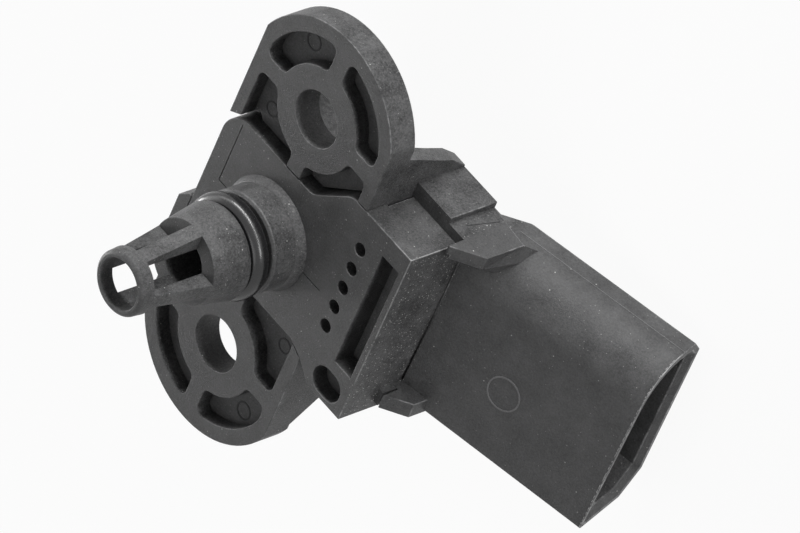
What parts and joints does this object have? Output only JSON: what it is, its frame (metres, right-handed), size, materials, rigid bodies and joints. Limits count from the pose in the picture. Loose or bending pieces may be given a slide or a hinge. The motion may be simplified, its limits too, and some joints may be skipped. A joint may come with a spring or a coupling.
{
  "type": "manifold pressure sensor",
  "caption": "Dark plastic manifold pressure sensor: a caged nozzle with a rubber seal ring on a ribbed flange, and a slanted plug socket at its side.",
  "frame": {"origin": "on the nozzle's axis, in the plane of the ears' front faces, midway between the two screw holes", "axes": "+Z along the nozzle, out of its tip; +X towards the connector's mouth; +Y towards one screw hole"},
  "size_m": [0.0578, 0.06, 0.0479],
  "materials": {
    "housing_plastic": "matte, fine grain",
    "plate_plastic": "matte, fine grain",
    "cover_plastic": "matte",
    "seal_rubber": "smooth, slightly glossy",
    "adhesive": "satin",
    "board_laminate": "satin",
    "cell_plastic": "matte",
    "cell_glass": "clear",
    "silicon": "polished",
    "soft_gel": "clear",
    "chip_epoxy": "matte",
    "capacitor_ceramic": "satin",
    "terminal_tin": "tin plated",
    "solder": "bright",
    "bead_epoxy": "gloss",
    "lead_wire": "tinned"
  },
  "bodies": {
    "root": {"back_cover": "cover_plastic", "capacitor_1": "capacitor_ceramic", "capacitor_2": "capacitor_ceramic", "capacitor_3": "capacitor_ceramic", "capacitor_4": "capacitor_ceramic", "cell_frame": "cell_plastic", "cell_gel": "soft_gel", "circuit_board": "board_laminate", "cover_seal": "adhesive", "glass_base": "cell_glass", "housing": "housing_plastic", "ntc_bead": "bead_epoxy", "ntc_lead_1": "lead_wire", "ntc_lead_2": "lead_wire", "o_ring": "seal_rubber", "port_plate": "plate_plastic", "port_seal": "adhesive", "pressure_chip": "silicon", "signal_chip": "chip_epoxy", "solder_1": "solder", "solder_2": "solder", "solder_3": "solder", "solder_4": "solder", "terminal_1": "terminal_tin", "terminal_2": "terminal_tin", "terminal_3": "terminal_tin", "terminal_4": "terminal_tin"}
  },
  "joints": []
}
